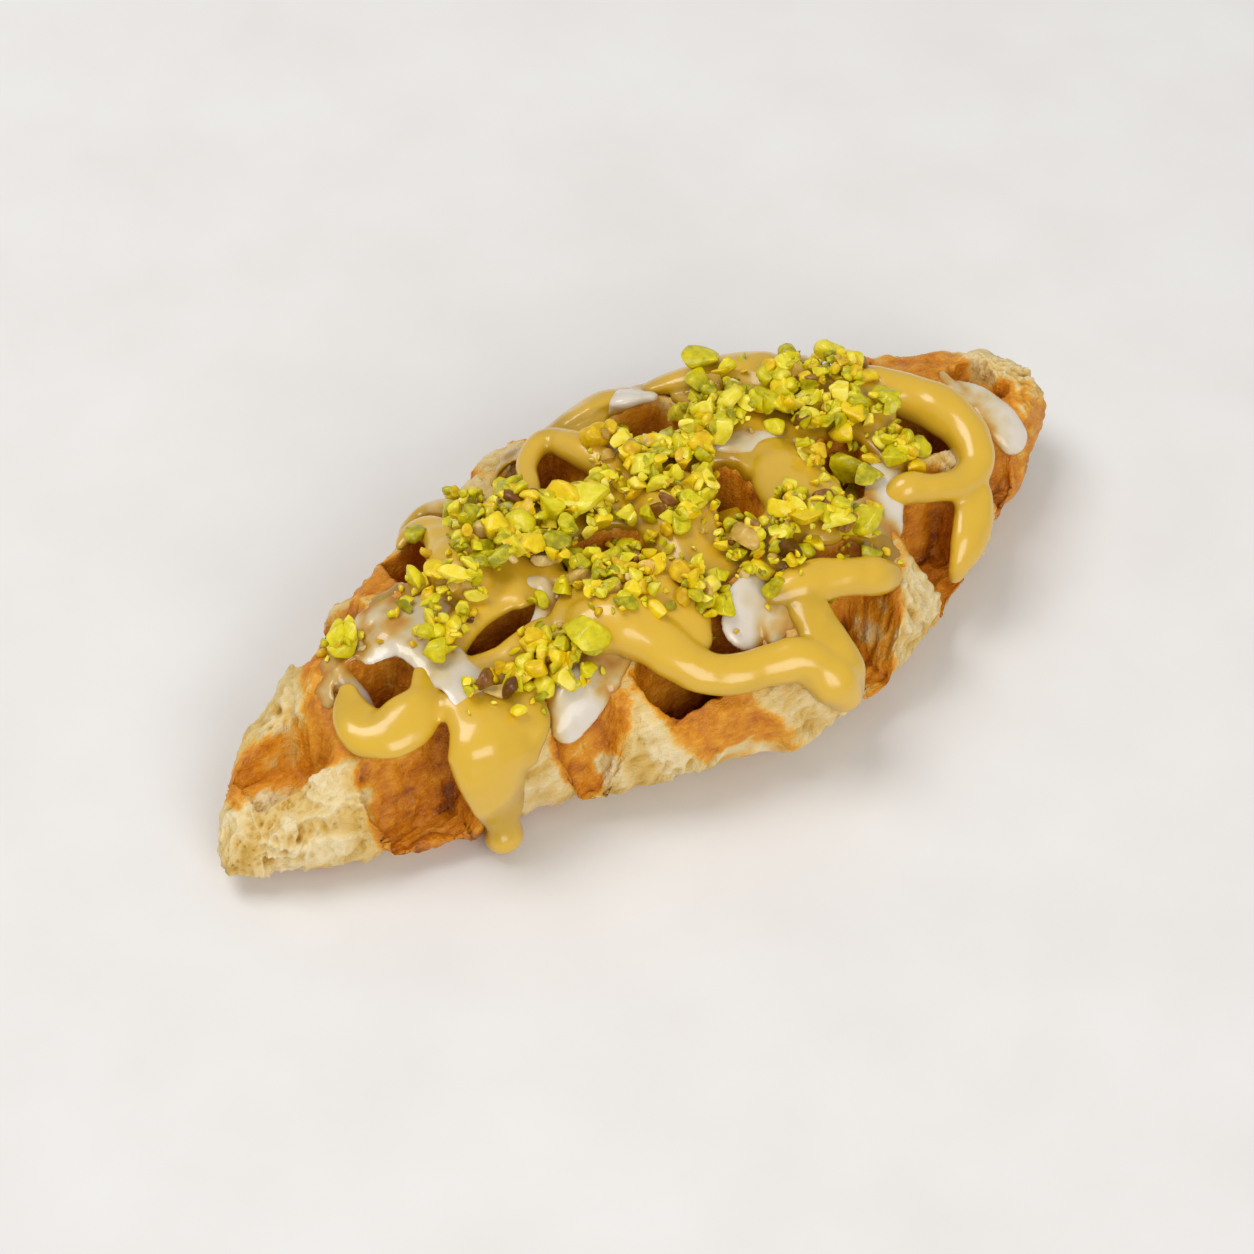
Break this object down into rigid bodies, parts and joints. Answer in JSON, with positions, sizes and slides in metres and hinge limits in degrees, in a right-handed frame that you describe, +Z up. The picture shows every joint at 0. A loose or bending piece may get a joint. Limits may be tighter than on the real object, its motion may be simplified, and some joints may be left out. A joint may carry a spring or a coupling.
{
  "type": "pressed croissant waffle with nut cream",
  "caption": "Flat spindle-shaped croissant pressed in a waffle iron, with square hollows on both faces, strokes of thick nut cream, thin white icing and chopped nuts on top.",
  "frame": {"origin": "on the surface it rests on, under the middle of its outline", "axes": "+X along the croissant towards its blunter tip, +Y to its back, +Z up"},
  "size_m": [0.1864, 0.0874, 0.0379],
  "materials": {
    "crust": "browned baked dough, slightly greasy, paler where the iron didn't touch it",
    "cream": "smooth thick nut cream, glossy",
    "icing": "thin white sugar icing, glossy and a little see-through",
    "nuts": "chopped nut, satin, green and yellow with brown skins"
  },
  "bodies": {
    "root": {"croffle": "crust"}
  },
  "joints": []
}
